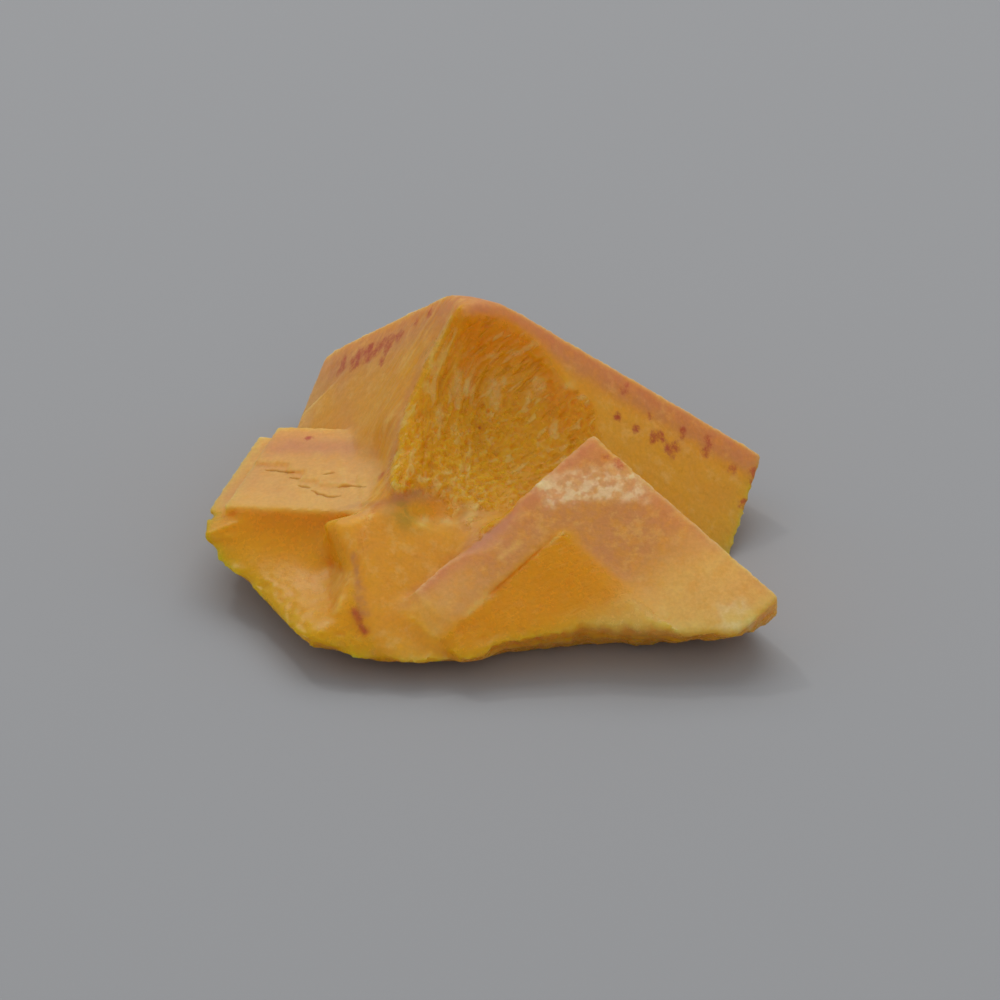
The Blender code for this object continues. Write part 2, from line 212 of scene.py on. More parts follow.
def paint(name, description, colour):
    """A colour for the panel."""
    return bpy.props.FloatVectorProperty(
        name=name, description=description, default=(*colour, 1), subtype="COLOR", size=4, min=0, max=1)


class FluoriteSizes(bpy.types.PropertyGroup):
    """Sizes of the fine surface and its relief."""

    spacing: number("Surface spacing", "Distance between points of the fine surface", 0.00018, 0.001, 0.0001)
    hackle: number("Hackle height", "Height of the hackle lines in the glassy hollow", 0.00014, 0.0005)
    grain: number("Break grain", "Height of the fine grain on broken faces", 0.00004, 0.0003)
    rim_chips: number("Rim chips", "Depth of the chips along the broken lower rim", 0.00012, 0.0005)
    frost: number("Frost height", "Height of the frosty crust on the front crystal", 0.00007, 0.0003)
    cracks: number("Crack depth", "Depth of the cracks across the left crystal", 0.00009, 0.0003)
    growth_steps: number("Growth steps", "Height of the fine growth steps on natural faces", 0.00003, 0.0002)
    apex_round: number("Apex rounding", "Distance from the apex over which it is worn round", 0.0019, 0.004)


class FluoriteColours(bpy.types.PropertyGroup):
    """Colours of the crystal and of what it holds."""

    honey: paint("Honey", "Colour of the broken crystal", (0.94, 0.44, 0.006))
    # Gold is partly the right face's own tone and partly painted light: a copy of the honey colour set for
    # that face as it lies in shade.
    golden: paint("Gold", "Colour of the main crystal's right face", (0.95, 0.49, 0.02))
    skin: paint("Outer zone", "Peach colour of the outer growth zone", (0.76, 0.33, 0.095))
    blush: paint("Blush", "Pink and purple tint along the outer edges", (0.7, 0.28, 0.13))
    # Amber is the crystal's own deeper tone. It also lays painted shade under the left crystal's overhung
    # edge and in the hollow's upper part, and a painted glow along the thin lower rim.
    amber: paint("Amber", "Deep colour of the thickest clear crystal", (0.95, 0.37, 0.002))
    # Cream also lays painted light near the front crystal's low rim, where the surface curves under.
    cream: paint("Cream", "Pale colour of thin and bruised crystal", (0.97, 0.58, 0.15))
    # Olive is partly a greenish tone and partly painted shade in the crevice at the top of the middle
    # crystal's face.
    olive: paint("Olive", "Greenish mottle where the crystals meet", (0.5, 0.3, 0.02))
    frost: paint("Frost", "Colour of the frosty crust", (1.0, 0.74, 0.4))
    # Painted highlight as well as veils: this pale colour also lays glints, highlight blobs and lit ridge
    # lines on the break.
    veil: paint("Veils", "Colour of pale veils inside the break", (1.0, 0.64, 0.17))
    # Painted shade as well as dark patches: this colour darkens the furrows between the break's lines, and it
    # also gives the random dark patches on grown faces.
    deep_tone_and_shade: paint("Furrows", "Deep colour between the lines of the break", (0.70, 0.27, 0.002))
    haematite: paint("Red specks", "Colour of the iron oxide specks", (0.55, 0.06, 0.035))
    purple: paint("Purple seams", "Colour along the seams between crystals", (0.56, 0.22, 0.12))
    # This colour is painted shade in the cracks, and it is also a random grit darkening laid over all.
    seam: paint("Cracks", "Colour of the open cracks", (0.42, 0.18, 0.02))


class StageSettings(bpy.types.PropertyGroup):
    """Floor, lamps and camera."""

    floor_colour: paint("Floor colour", "Plain pale floor", (0.37, 0.37, 0.372))
    overhead_power: number("Overhead softbox", "Power of the large lamp above", 0.50, 100.0, unit="POWER")
    key_power: number("Small softbox", "Power of the small lamp behind", 0.07, 100.0, unit="POWER")
    fill_power: number("Front softbox", "Power of the large lamp in front", 0.20, 100.0, unit="POWER")
    elevation: bpy.props.FloatProperty(
        name="Camera elevation", description="Angle of the camera above the floor",
        default=math.radians(30), min=0.0, max=math.radians(90), subtype="ANGLE")
    width_seen: number("Width seen", "Width of the view at the specimen", 0.050, 1.0, 0.01)


def smooth_step(low, high, value):
    """0 below low, 1 above high, and an even curve between."""
    share = np.clip((value - low) / (high - low), 0.0, 1.0)
    return share * share * (3 - 2 * share)


def square_axes(first, second):
    """Rows of three unit axes: the first direction, the second made square to it, and their normal."""
    x_axis = np.array(first) / np.linalg.norm(first)
    y_axis = np.array(second) - np.dot(second, x_axis) * x_axis
    y_axis /= np.linalg.norm(y_axis)
    return np.array((x_axis, y_axis, np.cross(x_axis, y_axis)))


def local(points, corner, axes):
    """Layout points in the frame of a crystal, in millimetres."""
    return (points - np.array(corner)) @ square_axes(*axes).T


def away_from(points, place):
    """Distance of each point from a place."""
    return np.linalg.norm(points - np.array(place), axis=1)


def view_height(points):
    """Height of layout points in the view plane, which leans back from upright."""
    return TILT[0] * points[:, 1] + TILT[1] * points[:, 2]


def noise_at(points, size, seed=0.0):
    """Smooth noise from -1 to 1, with lumps of about the given size in millimetres."""
    places = (points / size + seed).tolist()
    return np.array([noise.noise(place) for place in places])


def cells_at(points, size, seed=0.0):
    """Distance to the nearest of scattered points that lie about size apart, as a share of size."""
    places = (points / size + seed).tolist()
    return np.array([noise.voronoi(place)[0][0] for place in places])


def stretched(points, run, share):
    """Points scaled along a direction: noise on them draws lines that way, or square to it above 1."""
    way = np.array(run) / np.linalg.norm(run)
    return points - np.outer(points @ way, way) * (1 - share)


def to_line(points, line):
    """Distance of each point from a broken line, and how far along it from 0 to 1."""
    best = np.full(len(points), FAR)
    along = np.zeros(len(points))
    stops = np.array(line, float)
    for number, (start, end) in enumerate(zip(stops, stops[1:])):
        run = end - start
        share = np.clip((points - start) @ run / (run @ run), 0, 1)
        distance = np.linalg.norm(points - start - share[:, None] * run, axis=1)
        closer = distance < best
        best[closer] = distance[closer]
        along[closer] = (number + share[closer]) / (len(stops) - 1)
    return best, along


def surface_fields(points):
    """How near each point is to the faces and hollows of the crystals, and where it lies on them."""
    main = local(points, MAIN_APEX, MAIN_AXES)
    front = local(points, FRONT_APEX, FRONT_AXES)
    left = local(points, LEFT_CORNER, LEFT_AXES)
    middle = local(points, MIDDLE_CORNER, MIDDLE_AXES)
    bevel = np.array(BEVEL_OUTWARD) / np.linalg.norm(BEVEL_OUTWARD)

    def face(distance, *inside, reach=0.10):
        """1 near a plane, and between a low and a high limit of each value."""
        near = 1 - smooth_step(reach, reach + 0.12, np.abs(distance))
        for value, low, high in inside:
            near = near * smooth_step(low - 0.25, low, value) * (1 - smooth_step(high, high + 0.25, value))
        return near

    def scoop(centre, radii):
        """1 on the wall of a round cut."""
        place = local(points, centre, HOLLOW_AXES)
        place = place[:, (0, 2, 1)] * (1, -1, 1)
        return 1 - smooth_step(0.06, 0.11, np.abs(np.linalg.norm(place / np.array(radii), axis=1) - 1))

    in_hollow = np.maximum(scoop(*HOLLOW_UPPER), scoop(*HOLLOW_LOWER))
    faces = {
        "main_right": face(main[:, 1], (main[:, 0], 0, MAIN_EDGE), (main[:, 2], -MAIN_EDGE, 0)),
        "main_left": face(main[:, 0], (main[:, 1], 0, MAIN_EDGE), (main[:, 2], -MAIN_EDGE, 0)),
        "main_back": face(
            main[:, 2] - 0.2, (main[:, 0], -0.2, MAIN_EDGE), (main[:, 1], -0.2, MAIN_EDGE), reach=0.6),
        "bevel": face((points - np.array(BEVEL_POINT)) @ bevel, (main[:, 2], -MAIN_EDGE, 0)),
        "front": face(front[:, 2], (front[:, 0], 0, FRONT_TOP[0]), (front[:, 1], 0, FRONT_TOP[1])),
        "front_left": face(front[:, 1], (front[:, 0], 0, FRONT_TOP[0]), (front[:, 2], -FRONT_DEPTH, 0)),
        "front_right": face(front[:, 0], (front[:, 1], 0, FRONT_TOP[1]), (front[:, 2], -FRONT_DEPTH, 0)),
        "left": face(left[:, 2] - LEFT_LEVEL, (left[:, 0], -0.1, LEFT_TOP[0]), (left[:, 1], 0, LEFT_TOP[1])),
        "left_end": face(left[:, 0], (left[:, 1], 0, LEFT_END[0]), (left[:, 2], -LEFT_END[1], 0)),
        "left_side": smooth_step(0.3, 0.0, left[:, 0]) * smooth_step(0.2, 0.9, left[:, 1])
        * smooth_step(2.8, 3.4, points[:, 2]),
        "middle": face(middle[:, 2], (middle[:, 0], 0, MIDDLE_TOP[0]), (middle[:, 1], 0, MIDDLE_TOP[1])),
    }
    recess = (
        smooth_step(0.0, 0.15, front[:, 0] - RECESS_CORNER[0])
        * smooth_step(0.0, 0.15, front[:, 1] - RECESS_CORNER[1])
        * smooth_step(-0.75, -0.65, front[:, 2])
        * (1 - smooth_step(0.1, 0.2, front[:, 2]))
    )
    faces["recess"] = recess
    faces["front"] *= 1 - recess
    in_hollow = in_hollow * (1 - faces["main_right"]) * (1 - faces["front"]) * (1 - faces["middle"])
    in_hollow = in_hollow * smooth_step(4.0, 4.5, points[:, 2]) * (1 - faces["left"])
    faces["bevel"] = faces["bevel"] * smooth_step(8.5, 9.5, points[:, 1]) * (1 - faces["left"])
    rise = view_height(points)
    ragged = 0.25 * noise_at(points, 0.9, 17.0)
    zone = smooth_step(-0.30, 0.30, np.interp(rise, *HOLLOW_RIGHT) - points[:, 0] + ragged)
    zone *= smooth_step(-0.45, 0.45, points[:, 0] - np.interp(rise, *HOLLOW_LEFT) + ragged)
    zone *= smooth_step(9.0, 9.6, rise) * smooth_step(17.5, 17.3, rise)
    in_hollow = np.maximum(in_hollow, zone * np.maximum(faces["main_right"], faces["main_left"]))
    for name in ("main_right", "main_left"):
        faces[name] *= 1 - zone
    limit = np.interp(left[:, 1], *LEFT_TOP_LIMIT) + 0.2 * noise_at(left, 0.8, 91.0)
    beside = (left[:, 2] > 0.03) & (left[:, 2] < 1.9) & (left[:, 0] > 3.5) & (np.abs(main[:, 0]) < 0.4)
    beside = beside * smooth_step(0.3, 1.0, left[:, 1]) * smooth_step(6.2, 3.9, left[:, 1])
    uncovered = beside * smooth_step(0.12, -0.12, left[:, 0] - limit)
    faces["left"] = np.maximum(faces["left"], uncovered)
    faces["main_left"] *= 1 - uncovered
    lowered = beside * (1 - smooth_step(0.0, 1.5, left[:, 0] - limit))
    return {
        "main": main, "front": front, "left": left, "middle": middle, "hollow": in_hollow,
        "lowered": lowered, "faces": faces,
    }


def neighbour_sum(values, edges):
    """The sum of the values that each point's neighbours have."""
    total = np.bincount(edges[:, 0], values[edges[:, 1]], len(values))
    return total + np.bincount(edges[:, 1], values[edges[:, 0]], len(values))


def spread(values, edges, rounds):
    """Values averaged along the mesh edges, so that a mask has a soft border."""
    count = np.maximum(np.bincount(edges.ravel(), minlength=len(values)), 1)
    for _ in range(rounds):
        values = 0.5 * values + 0.5 * neighbour_sum(values, edges) / count
    return values


def natural_share(fields):
    """1 on faces that grew, 0 on faces that broke."""
    grown = np.zeros(len(fields["hollow"]))
    for name, near in fields["faces"].items():
        if name != "recess":
            grown = np.maximum(grown, near)
    return grown * (1 - fields["hollow"]) * (1 - fields["faces"]["recess"])


def fine_surface(spacing):
    """A bmesh of the solid's surface with points at an even spacing, each on the solid."""
    source = bmesh.new()
    source.from_mesh(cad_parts[CAD_NODE].data)
    bmesh.ops.remove_doubles(source, verts=source.verts, dist=1e-7)
    tree = BVHTree.FromBMesh(source)
    mesh = bpy.data.meshes.new("coarse")
    source.to_mesh(mesh)
    source.free()
    thing = add_object("coarse", mesh)
    remesh = thing.modifiers.new("even", "REMESH")
    remesh.mode = "VOXEL"
    remesh.voxel_size = spacing
    graph = bpy.context.evaluated_depsgraph_get()
    evaluated = thing.evaluated_get(graph)
    shape = bmesh.new()
    shape.from_mesh(evaluated.to_mesh())
    evaluated.to_mesh_clear()
    bpy.data.objects.remove(thing)
    bpy.data.meshes.remove(mesh)
    for vert in shape.verts:
        vert.co = tree.find_nearest(vert.co)[0]
    return shape


def add_object(name, data):
    """A new object in the scene."""
    thing = bpy.data.objects.new(name, data)
    bpy.context.scene.collection.objects.link(thing)
    return thing


def points_of(shape):
    """Layout points of a bmesh, in millimetres."""
    return np.array([vert.co[:] for vert in shape.verts]) / MM + FOOTPRINT_CENTRE


def refine(shape, wanted):
    """Splits the edges between wanted points in half."""
    shape.verts.index_update()
    edges = [edge for edge in shape.edges if wanted[edge.verts[0].index] and wanted[edge.verts[1].index]]
    bmesh.ops.subdivide_edges(shape, edges=edges, cuts=1, use_grid_fill=True)
    shape.verts.ensure_lookup_table()


def crack_distance(fields):
    """Distance from the cracks in the left crystal's top, in millimetres."""
    left = fields["left"]
    best = np.full(len(left), FAR)
    wander = 0.07 * noise_at(left, 0.35, 3.0)
    for line in LEFT_CRACKS:
        distance, along = to_line(left[:, :2] + wander[:, None], line)
        best = np.minimum(best, distance + 0.05 * np.abs(along * 2 - 1) ** 3)
    best[fields["faces"]["left"] < 0.3] = FAR
    return best


def crack_mask(fields):
    """1 in a crack."""
    return 1 - smooth_step(0.02, 0.10, crack_distance(fields))


def soften(points, edges, mask, rounds):
    """Draws the masked points towards their neighbours, so that an edge there is worn round."""
    count = np.bincount(edges.ravel(), minlength=len(points))[:, None]
    for _ in range(rounds):
        middle = np.stack([neighbour_sum(points[:, axis], edges) for axis in range(3)], axis=1) / count
        points = points + (SMOOTHING * mask)[:, None] * (middle - points)
    return points


def relax(points, edges, inside, rounds):
    """Lets the inside points settle like a film that is held at their border."""
    touching = edges[inside[edges].any(axis=1)]
    used, ends = np.unique(touching, return_inverse=True)
    ends = ends.reshape(-1, 2)
    free = inside[used]
    place = points[used]
    count = np.bincount(ends.ravel())[:, None]
    for _ in range(rounds):
        total = np.stack([neighbour_sum(place[:, axis], ends) for axis in range(3)], axis=1)
        place[free] += SMOOTHING * ((total / count) - place)[free]
    points = points.copy()
    points[used] = place
    return points


def uncover_left_top(points, fields):
    """Lowers the main crystal's face beside the left crystal, so that more of the left one's top shows."""
    drop = np.maximum(fields["left"][:, 2] - LEFT_LEVEL, 0) * fields["lowered"]
    return points - drop[:, None] * square_axes(*LEFT_AXES)[2]


def band_glints(fields):
    """Short bright lines along the lower side of the front crystal's band."""
    front = fields["front"]
    best = np.full(len(front), FAR)
    for line in BAND_GLINTS:
        best = np.minimum(best, to_line(front[:, :2], line)[0])
    near = np.abs(front[:, 2]) < 0.6
    return near * smooth_step(0.16, 0.05, best + 0.05 * noise_at(front, 0.5, 87.0))


def wear_edges(points, edges, fields, grown, sizes):
    """The points with the two breaks smoothed, the recess lifted and the worn edges and corners round."""
    front, middle, hollow = fields["front"], fields["middle"], fields["hollow"]
    broken_left = (grown < 0.3) & (points[:, 0] < -5.0) & (points[:, 0] > -12.8) & (points[:, 1] < 9.5)
    broken_left &= (points[:, 2] > 1.6) & (fields["left"][:, 2] < -0.12) & (middle[:, 2] < -0.2)
    points = relax(points, edges, broken_left, LEFT_BREAK_FILM)
    points = relax(points, edges, hollow > 0.35, HOLLOW_FILM)
    points = uncover_left_top(points, fields)
    flush = RECESS_LIFT * fields["faces"]["recess"] * (1 - 0.5 * smooth_step(5.4, 8.5, front[:, 0]))
    points = points + flush[:, None] * square_axes(*FRONT_AXES)[2]
    recess_side, _ = to_line(front, RECESS_BORDER)
    points = soften(points, edges, smooth_step(0.7, 0.35, recess_side), RECESS_ROUNDS)

    from_top = away_from(points, APEX_TOP)
    apex = smooth_step(1.0, 0.35, from_top * MM / sizes.apex_round)
    left_rim = spread(hollow, edges, RIM_SPREAD)
    left_rim = 4 * left_rim * (1 - left_rim) * smooth_step(1.5, -0.5, points[:, 0])
    left_rim *= smooth_step(1.2, 3.4, from_top)
    border, _ = to_line(middle, MIDDLE_BORDER)
    band_end, _ = to_line(front, BAND_END)
    borders = np.maximum(smooth_step(0.9, 0.3, border), smooth_step(1.0, 0.3, band_end))
    points = soften(points, edges, hollow, HOLLOW_ROUNDS)
    points = soften(points, edges, borders, BORDER_ROUNDS)
    points = soften(points, edges, np.clip(left_rim, 0, 1), LEFT_RIM_ROUNDS)
    points = soften(points, edges, apex, APEX_ROUNDS)
    rim_corner = smooth_step(2.0, 0.8, away_from(points, RIM_CORNER))
    points = soften(points, edges, rim_corner, RIM_CORNER_ROUNDS)
    return soften(points, edges, np.full(len(points), 0.5), ALL_OVER_ROUNDS)


def hollow_relief(points, sizes):
    """Height of the hackle lines, the arched step and the ripples in the glassy hollow, in millimetres."""
    across, up = points[:, 0], view_height(points)
    lines = stretched(points, HACKLE_RUN, 0.09)
    ridges = 0.5 - 1.1 * np.abs(noise_at(lines, 0.50, 5.0))
    fine_ridges = 0.5 - 1.1 * np.abs(noise_at(lines, 0.22, 8.0))
    left_side = smooth_step(0.6, -1.6, across + 0.18 * (up - 13.0))
    height = sizes.hackle / MM * (0.25 + 0.75 * left_side) * (ridges + 0.5 * fine_ridges)
    grains = noise_at(points, 0.30, 2.0) + 0.7 * noise_at(points, 0.16, 4.0)
    low = smooth_step(13.6, 12.2, up + 0.3 * noise_at(points, 0.8, 9.0))
    height += sizes.grain / MM * (0.5 + 1.2 * low) * grains
    chatter = np.abs(noise_at(stretched(points, CHATTER_RUN, 0.20), 0.30, 19.0))
    chatter += 0.5 * np.abs(noise_at(stretched(points, CHATTER_RUN, 0.25), 0.14, 25.0))
    height += CHATTER_HEIGHT * smooth_step(-1.6, 0.2, across) * (0.5 - chatter)
    arch = arch_place(points) + 0.05 * noise_at(points, 0.7, 13.0)
    height -= ARCH_DEPTH * smooth_step(1.06, 0.88, arch) * smooth_step(11.4, 13.0, up)
    rings = np.sin(arch * RINGS + 1.2 * noise_at(points, 0.9, 15.0))
    around = smooth_step(1.6, 1.15, arch) * smooth_step(0.92, 1.05, arch)
    height += RING_HEIGHT * rings * around * smooth_step(12.5, 13.5, up)
    return height


def arch_place(points):
    """One on the arched step in the hollow, less inside it and more outside."""
    across, up, wide, tall = HOLLOW_ARCH
    return np.hypot((points[:, 0] - across) / wide, (view_height(points) - up) / tall)


def veil_and_glint_mask(points, fields):
    """The pale veils and painted glints and highlights in the hollow, with ragged edges."""
    up = view_height(points)
    ragged = 0.45 * noise_at(points, 0.35, 81.0)
    mask = np.zeros(len(points))
    for x, y, wide, tall in HOLLOW_VEILS_AND_GLINTS:
        away = np.hypot((points[:, 0] - x) / wide, (up - y) / tall) + ragged
        mask = np.maximum(mask, smooth_step(1.15, 0.55, away))
    near = (points[:, 1] < 16) & (fields["front"][:, 2] < -0.3)
    return mask * near * (1 - fields["faces"]["left"])


def relief(points, fields, grown, sizes):
    """How far each point moves out along its normal, in millimetres."""
    faces, hollow = fields["faces"], fields["hollow"]
    front, left = fields["front"], fields["left"]
    broken = (1 - grown) * (1 - hollow)
    height = fields["soft_hollow"] ** 2 * hollow_relief(points, sizes)

    swell = noise_at(points, 1.7, 11.0)
    grains = noise_at(points, 0.33, 2.0)
    height += broken * sizes.grain / MM * (0.8 * swell + 0.12 * grains)
    rim = broken * smooth_step(2.9, 2.3, points[:, 2])
    chips = np.abs(noise_at(points, 0.75, 21.0)) + 0.7 * np.abs(noise_at(points, 0.38, 23.0))
    height -= rim * sizes.rim_chips / MM * chips

    steps = sizes.growth_steps / MM
    band = noise_at(stretched(points, GROWTH_RUN, 3.0), 1.3, 31.0)
    terraces = np.round((band + 0.25 * noise_at(points, 0.7, 33.0)) * 2.5) / 2.5
    natural = np.maximum.reduce([faces["main_right"], faces["main_left"], faces["main_back"], faces["bevel"]])
    height += natural * grown * steps * terraces
    slow = np.round(noise_at(stretched(front, (1, 0, 0), 0.25), 1.1, 37.0) * 3) / 3
    height += faces["front"] * grown * steps * (0.8 * slow + 0.5 * noise_at(front, 0.5, 39.0))
    height += faces["left"] * grown * steps * noise_at(stretched(left, (1, 0, 0), 0.3), 0.6, 41.0)
    height += faces["middle"] * grown * steps * 2.0 * noise_at(points, 1.6, 43.0)

    step_line = smooth_step(0.9, 0.1, np.abs(front[:, 1] - RECESS_CORNER[1] - 0.35)) * faces["recess"]
    ribs = noise_at(stretched(front, (1, 0, 0), 0.12), 0.30, 45.0)
    height += step_line * RIB_HEIGHT * ribs
    height -= BAND_FALL * past_band(front, 0.0, 0.5) * faces["front"] * smooth_step(4.5, 3.0, front[:, 1])

    frost = frost_mask(fields)
    bumps = 1 - cells_at(front, 0.5, 3.0) * 1.6
    height += frost * sizes.frost / MM * (bumps + 0.4 * noise_at(points, 0.15, 6.0))
    height -= crack_mask(fields) * sizes.cracks / MM
    return height


def past_band(front, before, after):
    """0 on the front crystal's raised band, and 1 past its bowed end."""
    bow = 0.16 * (front[:, 1] - 1.3) ** 2
    return smooth_step(BAND_LENGTH - before, BAND_LENGTH + after, front[:, 0] + bow)


def frost_mask(fields):
    """Where the frosty crust lies on the front crystal."""
    front = fields["front"]
    distance, _ = to_line(front[:, :2], FROST_LINE)
    ragged = 0.55 * noise_at(front, 0.9, 51.0) + 0.25 * noise_at(front, 0.35, 53.0)
    return fields["faces"]["front"] * (1 - smooth_step(0.55, 1.25, distance + ragged))


def spots(place, centres):
    """A mask of round spots, each given by its two positions on a face and its radius."""
    mask = np.zeros(len(place))
    ragged = 0.45 * noise_at(np.column_stack([place[:, :2], mask]), 0.45, 97.0)
    for x, y, radius in centres:
        distance = np.hypot(place[:, 0] - x, place[:, 1] - y) + ragged * min(radius, 1.0)
        mask = np.maximum(mask, 1 - smooth_step(0.3 * radius, radius, distance))
    return mask


def stain_mask(points, fields, broken):
    """Where red specks are scattered."""
    faces = fields["faces"]
    main, front, left = fields["main"], fields["front"], fields["left"]
    belt = smooth_step(0.35, 0.6, noise_at(points, 2.6, 71.0)) * 0.7
    return np.maximum.reduce([
        spots(main[:, (0, 2)], RIGHT_SPECKS) * faces["main_right"],
        spots(main[:, (1, 2)], LEFT_SPECKS) * np.maximum(faces["main_left"], faces["bevel"]),
        spots(front[:, :2], FRONT_SPECKS) * faces["front"],
        spots(left[:, :2], LEFT_TOP_SPECKS) * faces["left"],
        spots(points[:, (0, 2)], HOLLOW_DOTS) * fields["hollow"],
        np.maximum(faces["main_back"], broken * (points[:, 1] > 18)) * belt,
    ])


def colour_masks(points, fields, grown):
    """Named masks from 0 to 1 that the finish mixes its colours by."""
    faces, hollow = fields["faces"], fields["hollow"]
    main, front, left, middle = (fields[name] for name in ("main", "front", "left", "middle"))
    broken = (1 - grown) * (1 - hollow)
    wander = 0.25 * noise_at(points, 1.4, 61.0)

    top_zone = smooth_step(-1.8, -1.1, main[:, 2] + wander * 0.5)
    main_band = faces["main_right"] * top_zone
    left_zone = 0.45 + 0.55 * smooth_step(-3.2, -1.2, main[:, 2] + wander)
    left_zone = np.maximum(faces["main_left"], faces["bevel"]) * left_zone
    apex = smooth_step(3.0, 1.0, away_from(points, MAIN_APEX) + wander)
    upper_band = faces["front"] * smooth_step(3.2, 2.4, front[:, 1] + wander * 0.6)
    right_band = faces["front"] * smooth_step(6.4, 4.2, front[:, 0] + wander)
    low_right = smooth_step(6.0, 9.5, front[:, 1] + wander * 2)
    band_end = past_band(front, 0.5, 0.7)
    skin = np.maximum.reduce([
        main_band, left_zone, faces["main_back"], upper_band * (1 - band_end),
        right_band * (1 - 0.4 * low_right), faces["left"], faces["left_end"] * 0.5, faces["left_side"],
        faces["front_left"], faces["front_right"], faces["middle"] * 0.30, faces["main_right"] * 0.30,
        apex * grown,
    ]) * grown * (1 - 0.7 * fields["lowered"] * (1 - faces["left"]))

    ridge = 4 * fields["soft_hollow"] * (1 - fields["soft_hollow"]) * smooth_step(1.0, -1.0, points[:, 0])
    skin = np.maximum(skin, ridge * 0.7)

    patch = np.hypot(front[:, 0] - 7.0, front[:, 1] - 5.2) / 2  # a tinted patch on the front face
    rim = np.maximum.reduce([
        faces["main_right"] * smooth_step(-1.5, -0.3, main[:, 2]) * 0.5,
        upper_band * smooth_step(0.9, 0.15, front[:, 1] + wander * 0.4) * (1 - band_end),
        faces["front"] * smooth_step(0.6, 0.1, front[:, 0] + wander * 0.4) * 0.6,
        faces["left"] * smooth_step(1.0, 0.3, np.abs(left[:, 1] - 5.2) + np.abs(wander)) * 0.6,
        faces["bevel"] * smooth_step(-6.6, -7.6, points[:, 0]) * 0.2, apex * 0.6 * grown,
        faces["front"] * smooth_step(1.6, 0.6, patch + wander) * 0.7,
        smooth_step(0.5, 0.1, np.abs(middle[:, 0] + 0.05)) * faces["middle"] * 0.7,
    ])
    haze = smooth_step(-0.1, 0.6, noise_at(points, 2.2, 67.0))
    blush = np.clip(rim + 0.3 * haze * skin, 0, 1) * grown + ridge * 0.25

    up = view_height(points)
    arch = arch_place(points) + 0.2 * wander
    inside = smooth_step(-2.3, -1.3, points[:, 0] + wander)
    # Painted shade in part: darker amber on the hollow's upper wall outside the arched step and by its steep
    # right wall, where the overhung walls lie in shade. In part it is thicker crystal.
    deep_tone_and_shade = smooth_step(0.92, 1.12, arch) * smooth_step(12.2, 13.6, up + wander) * inside
    deep_tone_and_shade = np.maximum(deep_tone_and_shade, smooth_step(2.6, 3.4, points[:, 0] + wander) * smooth_step(10.8, 12.2, up) * 0.8)
    # Painted shade: amber under the left crystal's overhung front edge, deeper towards the top of the break.
    under_edge_shade = smooth_step(2.4, 4.0, points[:, 2]) * smooth_step(-6.5, -8.0, points[:, 0])
    triangle = faces["recess"] * smooth_step(10.4, 7.8, front[:, 1] + 0.30 * front[:, 0] + wander * 2)
    triangle = triangle * smooth_step(0.5, 1.9, points[:, 2] + wander)
    end_facet = smooth_step(13.2, 13.7, points[:, 0]) * broken
    # Painted glow: amber along the thin broken lower rim, standing for light that comes through it.
    rim_glow = broken * smooth_step(2.0, 0.6, points[:, 2])
    # The amber mask holds the recess triangle, the pocket and the end facet in their own tone. It also holds
    # painted shade under the overhung edge and in the hollow, and a painted glow on the lower rim.
    amber = hollow * deep_tone_and_shade + broken * (under_edge_shade * 0.8 + end_facet * 0.3) + rim_glow * 0.6 + triangle * 0.85
    amber = np.clip(amber, 0, 1)

    x, y, wide, tall = POCKET_PLACE
    pocket = np.hypot((points[:, 0] - x) / wide, (up - y) / tall)
    amber = np.maximum(amber, smooth_step(1.1, 0.7, pocket + wander * 0.5) * (points[:, 1] < 9.0) * 0.9)

    cream = np.maximum.reduce([
        faces["recess"] * smooth_step(5.8, 9.0, front[:, 1] + wander * 2) * 0.8,
        # Painted light: paler colour on the recess near the front crystal's low rim, lifting it where the
        # surface curves under into shade.
        faces["recess"] * smooth_step(2.0, 0.7, points[:, 2] + wander) * 0.8,
        faces["front"] * smooth_step(8.5, 11.5, front[:, 0] + wander) * 0.5,
        faces["front"] * low_right,
        spots(front[:, :2], CORNER_CREAM) * np.maximum(faces["front"], faces["recess"]),
        faces["left"] * (0.35 + 0.35 * smooth_step(5.0, 1.0, left[:, 1])), faces["left_side"] * 0.5,
    ])
    # Painted light in part: the main crystal's right face below its outer zone takes the gold copy of the
    # honey colour, set for the face in its shade.
    golden = faces["main_right"] * smooth_step(-1.3, -2.1, main[:, 2] + wander)
    # Painted shade in part: a darker greenish tint in the crevice at the top of the middle crystal's face.
    olive = faces["middle"] * smooth_step(2.6, 1.0, middle[:, 0]) * smooth_step(2.6, 3.8, middle[:, 1])

